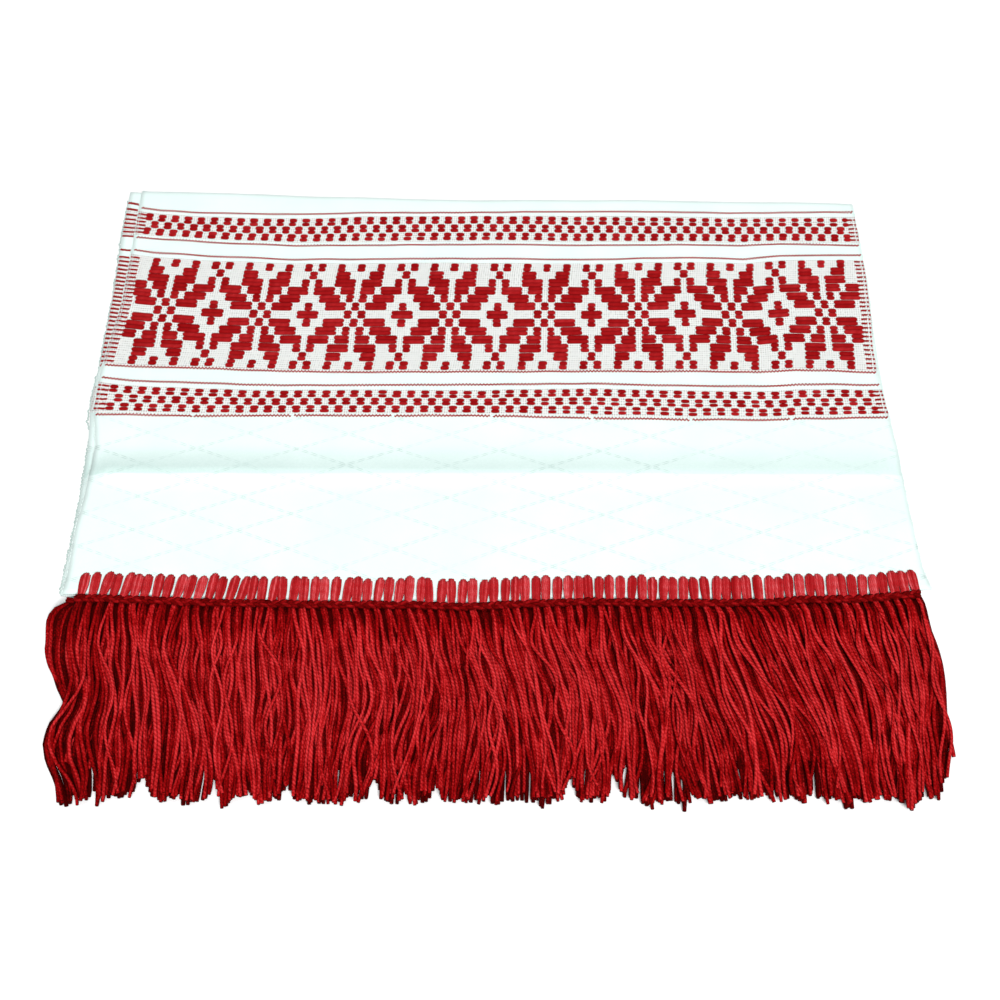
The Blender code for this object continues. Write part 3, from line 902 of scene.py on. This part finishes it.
def loopPaths():
    dice = np.random.default_rng(heading["seed"])
    pitch = (heading["right"] - heading["left"]) / heading["loops"]
    share, rise, radius = (np.array(heading[key]) for key in ("shares", "rise", "radius"))
    paths, tones = [], []
    for loop in range(heading["loops"]):
        middle = heading["left"] + (loop + 0.5) * pitch + dice.normal(0.0, 0.00016)
        topWidth = pitch * dice.uniform(0.91, 1.00)
        footWidth = topWidth * dice.uniform(0.74, 0.94)
        leftward = smooth((-0.08 - middle) / 0.04) * smooth((middle + 0.176) / 0.014)
        leanOver = dice.normal(0.0003, 0.00050) + 0.0010 * leftward
        length = heading["loopReach"] + dice.normal(0.0, 0.00030)
        tone = dice.uniform(0.36, 0.60)
        width = mix(footWidth, topWidth, smooth(share / 0.6)) * (1.0 - 0.06 * smooth((share - 0.72) / 0.28))
        for yarn in range(heading["yarnsInLoop"]):
            side = yarn / (heading["yarnsInLoop"] - 1) * 2.0 - 1.0
            dome = length - 0.0009 * abs(side) ** 2.5 + dice.normal(0.0, 0.00006)
            reach = mix(heading["footReach"], dome, share)
            across = middle + leanOver * share + side * (0.5 * width - heading["inset"])
            surface = clothTop(across, np.maximum(reach, 0.0))
            bulge = heading["bulge"] * (1.0 - side ** 2)
            paths.append(place(across, reach, surface + 0.001 * rise + bulge))
            tones.append(tone + dice.normal(0.0, 0.24))
    return np.array(paths), 0.001 * radius, tones


paths, radii, tones = loopPaths()
headingLoops = layYarns("headingLoops", paths, radii, loopYarn, sides=6, tones=tones)


chain = {
    "points": 880,
    "stitch": 0.0088,
    "unevenTurn": 1.1,
    "swing": 0.00088,
    "unevenSwing": 0.22,
}


def chainPaths(left, right, base, reach, height):  # a plait of three strands, two crossings to a loop
    across = np.linspace(left, right, chain["points"])
    wave = fullTurn * (across - left) / chain["stitch"] + chain["unevenTurn"] * wander(across / 0.02, 0.0, 62)
    swing = chain["swing"] * (1.0 + chain["unevenSwing"] * wander(across / 0.012, 0.3, 63))
    paths = []
    for strand in range(3):
        phase = wave + strand * fullTurn / 3.0
        reaches = reach + swing * np.sin(phase) + 0.0002 * wander(across / 0.02, 0.0, 61)
        heights = base + 0.0006 + height * (0.5 + 0.5 * np.sin(2.0 * phase))
        paths.append(place(across, np.minimum(reaches, -0.0001), heights))
    return paths


headingChain = layYarns("headingChain", chainPaths(-0.1764, 0.1745, 0.0110, -0.0026, 0.0008), 0.00096,
                        chainYarn, sides=6, tones=(0.3, 0.55, 0.8))
lowerChain = layYarns("lowerChain", chainPaths(-0.1808, 0.1690, 0.0078, -0.0022, 0.0006), 0.00080,
                      chainYarn, sides=5)


# The fringes. Place across, then the sideways drift of a strand at a quarter, half, three quarters
# and all of its length
upperDrift = tenth * np.array([
    (-1760, -30, 26, -80, 50),
    (-1520, -10, 55, 85, 80),
    (-1180, -20, 20, 70, 95),
    (-900, 10, 25, 30, 40),
    (-620, 40, 80, 40, 30),
    (-300, 40, 85, 50, 40),
    (0, 30, 95, 130, 120),
    (400, 20, 80, 80, 50),
    (750, 40, 80, 135, 160),
    (1040, 80, 145, 200, 210),
    (1340, 55, 105, 140, 140),
    (1580, 50, 75, 62, 40),
    (1750, 44, 60, 42, 16),
])
lowerDrift = tenth * np.array([
    (-1810, -96, -50, 70, 0),
    (-1760, -72, -26, 54, 4),
    (-1680, -46, -4, 40, 8),
    (-1500, -14, 34, 50, 40),
    (-900, 20, 40, 40, 50),
    (0, 30, 70, 90, 80),
    (900, 50, 100, 130, 140),
    (1500, 60, 90, 90, 80),
    (1700, 60, 80, 80, 60),
])
# Notches and long tips along the cut ends: place across, half width, extra length
tipMarks = tenth * np.array([
    (-1800, 50, -140), (-1700, 40, 30), (-1407, 50, -80), (-1116, 30, -60),
    (-1075, 30, 30), (-837, 30, -50), (-495, 40, -80), (-248, 30, -40),
    (10, 60, 20), (275, 40, -90), (448, 40, -100), (720, 30, 30),
    (916, 30, -30), (1214, 30, -30), (1600, 60, 40), (1800, 100, -150),
])


def driftAt(table, roots, shares):  # the mean of three nearby places rounds the corners of the drift
    total = 0.0
    for nudge in (-0.06, 0.03, 0.12):
        spot = np.clip(shares + nudge, 0.0, 1.0) * 4.0
        value = 0.0
        for index in range(4):
            low = 0.0 if index == 0 else np.interp(roots, table[:, 0], table[:, index])
            high = np.interp(roots, table[:, 0], table[:, index + 1])
            part = np.clip(spot - index, 0.0, 1.0)
            value = value + (high - low) * part
        total = total + value
    return total / 3.0 * smooth(shares / 0.05)


def tipExtra(across):
    extra = np.zeros_like(across)
    for spot, width, amount in tipMarks:
        extra += amount * smooth(1.0 - np.abs(across - spot) / width)
    return extra


def groupPull(across, own, dice):  # centre and tightness of the bundle that each strand joins
    order = np.argsort(across)
    centre, tight = np.zeros(len(across)), np.zeros(len(across))
    index = 0
    while index < len(order):
        size = int(dice.integers(own["bundle"][0], own["bundle"][1] + 1))
        members = order[index:index + size]
        centre[members] = across[members].mean() + dice.normal(0.0, 0.0006)
        tight[members] = dice.uniform(*own["pull"])
        index += size
    return centre, tight


def strandPaths(own):
    dice = np.random.default_rng(own["seed"])
    count, rings = own["strands"], own["rings"]
    roots = np.linspace(own["left"], own["right"], count) + dice.normal(0.0, own["scatter"], count)
    roots = roots[:, None]
    shares = np.linspace(0.0, 1.0, rings)[None, :]
    settle = smooth(shares / 0.25)
    loopPitch = (heading["right"] - heading["left"]) / heading["loops"]
    offset = (roots - heading["left"]) / loopPitch
    offset = (offset - np.floor(offset) - 0.5) * loopPitch
    gather = own["gather"] * offset * (1.0 - smooth(shares / 0.22))
    across = roots - gather + driftAt(own["drift"], roots, shares)
    corner = smooth(1.0 - (roots - own["left"]) / 0.012)
    splay = own["splay"] * corner
    across -= splay * smooth(shares / 0.06) * (1.0 - smooth((shares - 0.06) / 0.25))
    across += own["wave"] * wander(roots / 0.03, shares * 1.2, own["seed"] + 1) * settle
    across += own["curl"] * wander(roots / 0.011, shares * 2.0, own["seed"] + 2) * settle
    loose = np.where(dice.uniform(0.0, 1.0, (count, 1)) < own["looseShare"], 3.2, 1.0)
    across += own["stray"] * loose * dice.normal(0.0, 1.0, (count, 1)) * shares ** 1.5
    lone = np.sin(6.28 * (shares * dice.uniform(0.8, 2.2, (count, 1)) + dice.uniform(0.0, 1.0, (count, 1))))
    across += own["ripple"] * loose * lone * settle
    middle = rings // 2
    centreMid, tightMid = groupPull(across[:, middle], own, dice)
    centreEnd, tightEnd = groupPull(across[:, -1], own, dice)
    pullMid = (smooth(shares / 0.45) * smooth((1.05 - shares) / 0.5)) * tightMid[:, None]
    pullEnd = smooth((shares - 0.45) / 0.5) * tightEnd[:, None]
    towardMid = pullMid * (centreMid - across[:, middle])[:, None]
    towardEnd = pullEnd * (centreEnd - across[:, -1])[:, None]
    across += towardMid + towardEnd
    length = own["length"] + dice.normal(0.0, own["ragged"], count) + tipExtra(across[:, -1])
    bundleLength = np.interp(centreEnd, np.sort(centreEnd), dice.normal(0.0, 0.0012, count))
    length = (length + bundleLength)[:, None]
    way = shares * length
    reach = own["start"] - way
    fall = smooth((way - own["brow"]) / own["drop"])
    low = own["rest"] + own["pile"] * dice.uniform(0.0, 1.0, (count, 1)) + 0.0006 * (loose > 1.0)
    landing = smooth((way - 0.048) / 0.024)
    low = mix(low, np.minimum(low, own["floorRest"] + 0.6 * (low - own["rest"])), landing)
    roll = np.sin(6.28 * (shares * 1.7 + dice.uniform(0.0, 1.0, (count, 1))))
    low += 0.0004 * roll * smooth(shares / 0.3)
    height = mix(own["rootHeight"], low, fall)
    height = np.maximum(height, own["radius"] * 1.14)
    radii = own["radius"] * dice.uniform(0.86, 1.10, (count, 1)) * np.where(shares > 0.99, 0.88, 1.0)
    # painted shadow: darker tones near the roots, under the chain; the line after makes the tones darker
    # towards the cut ends
    tones = dice.uniform(*own["tones"], (count, 1)) - 0.30 * (1.0 - smooth((shares - 0.02) / 0.20))
    tones -= 0.20 * smooth((shares - 0.55) / 0.45)
    # painted shade: darker tones at the left end of the fringe
    tones -= own["leftShade"] * smooth((-0.146 - roots) / 0.026)
    return place(across, reach, height), radii, tones


# What the five fringe pieces share, and where each one differs
plainFringe = {
    "left": -0.1758, "right": 0.1744, "length": 0.0800, "drift": upperDrift, "splay": 0.0, "leftShade": 0.30,
    "wave": 0.0026, "curl": 0.0013, "stray": 0.0013, "looseShare": 0.0, "ripple": 0.0005, "bundle": (3, 7),
    "pull": (0.10, 0.42), "gather": 0.0, "scatter": 0.0004, "ragged": 0.0008, "start": -0.0036, "brow": 0.0,
    "pile": 0.0008, "floorRest": 0.0010,
}
# the tone ranges step from dark in the bed to light in the top tier and the strays: painted shade on the
# lower tiers, between the strands
fringes = {
    "lowerFringe": {
        "strands": 340, "rings": 26, "seed": 71, "left": -0.1806, "right": 0.1686, "length": 0.0670,
        "drift": lowerDrift, "splay": 0.0024, "leftShade": 0.12, "wave": 0.0008, "curl": 0.0002,
        "stray": 0.0003, "ripple": 0.0002, "pull": (0.0, 0.04), "scatter": 0.0001, "ragged": 0.0010,
        "start": -0.0034, "drop": 0.013, "rest": 0.0010, "pile": 0.0010, "rootHeight": 0.0082,
        "radius": 0.00098, "tones": (0.1, 0.9)},
    "fringeBed": {
        "strands": 310, "rings": 30, "seed": 81, "left": -0.1760, "length": 0.0795, "wave": 0.0014,
        "curl": 0.0003, "stray": 0.0003, "ripple": 0.0002, "bundle": (3, 6), "pull": (0.0, 0.06),
        "scatter": 0.0002, "drop": 0.014, "rest": 0.0024, "rootHeight": 0.0104, "radius": 0.00092,
        "tones": (0.05, 0.40)},
    "fringeMiddle": {
        "strands": 205, "rings": 38, "seed": 91, "looseShare": 0.05, "gather": 0.55, "brow": 0.0004,
        "drop": 0.015, "rest": 0.0034, "floorRest": 0.0018, "rootHeight": 0.0110, "radius": 0.00084,
        "tones": (0.35, 0.85)},
    "fringeTop": {
        "strands": 160, "rings": 42, "seed": 101, "leftShade": 0.10, "curl": 0.0017, "looseShare": 0.10,
        "ripple": 0.0006, "bundle": (2, 7), "pull": (0.10, 0.45), "gather": 0.60, "ragged": 0.0009,
        "brow": 0.0008, "drop": 0.016, "rest": 0.0045, "pile": 0.0009, "floorRest": 0.0028,
        "rootHeight": 0.0116, "radius": 0.00083, "tones": (0.50, 1.0)},
    "fringeStrays": {
        "strands": 34, "rings": 42, "seed": 111, "left": -0.1700, "right": 0.1640, "length": 0.0780,
        "leftShade": 0.0, "wave": 0.0030, "curl": 0.0020, "stray": 0.0055, "ripple": 0.0012, "bundle": (1, 2),
        "pull": (0.0, 0.0), "gather": 0.3, "scatter": 0.0020, "ragged": 0.0020, "brow": 0.0012, "drop": 0.017,
        "rest": 0.0060, "pile": 0.0004, "floorRest": 0.0040, "rootHeight": 0.0119, "radius": 0.00068,
        "tones": (0.65, 1.0)},
}
for name, values in fringes.items():
    paths, radii, tones = strandPaths({**plainFringe, **values})
    layYarns(name, paths, radii, fringeYarn, sides=6, tones=tones)
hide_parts("upper_fringe")
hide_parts("lower_fringe")

print("yarn work laid")


# Floor, light and camera
studio = {
    "floorColor": dye(0.97, 0.97, 0.97),
    "skyColor": dye(1.0, 1.0, 1.0),
    "skyStrength": 0.33,
    "cameraHeight": 0.5293,
    "cameraBack": 0.2684,
    "cameraTilt": 31.329,
    "lens": 50.4,
    "lights": {"keyLight": ((0.60, -2.30, 2.75), 1.5, 139.0), "topLight": ((-0.1, 0.7, 1.4), 1.2, 6.5)},
}


def buildFloor():
    bm = bmesh.new()
    bmesh.ops.create_grid(bm, x_segments=2, y_segments=2, size=4.0)
    mesh = meshFrom(bm, "floor")
    material, shader = newMaterial("pale paper floor", 0.95)
    shader.inputs["Base Color"].default_value = studio["floorColor"]
    mesh.materials.append(material)
    newObject("floor", mesh)


def addLight(name, spot, size, power):  # a square lamp that looks at the middle of the floor
    lamp = bpy.data.lights.new(name, "AREA")
    lamp.shape = "SQUARE"
    lamp.size = size
    lamp.energy = power
    light = newObject(name, lamp)
    light.location = spot
    tilt = math.atan2(math.hypot(spot[0], spot[1]), spot[2])
    light.rotation_euler = (tilt, 0.0, math.atan2(spot[0], -spot[1]))


buildFloor()
for name, values in studio["lights"].items():
    addLight(name, *values)
world = bpy.data.worlds.new("paleStudio")
bpy.context.scene.world = world
world.use_nodes = True
sky = world.node_tree.nodes["Background"].inputs
sky["Color"].default_value = studio["skyColor"]
sky["Strength"].default_value = studio["skyStrength"]

cameraData = bpy.data.cameras.new("photoCamera")
cameraData.lens = studio["lens"]
cameraData.sensor_width = 36.0
cameraData.clip_start = 0.01
camera = newObject("photoCamera", cameraData)
camera.location = (lay["centreLine"], lay["hemLine"] - studio["cameraBack"], studio["cameraHeight"])
camera.rotation_euler = (math.radians(studio["cameraTilt"]), 0.0, 0.0)
bpy.context.scene.camera = camera
bpy.context.scene.view_settings.view_transform = "Standard"
print("studio set")
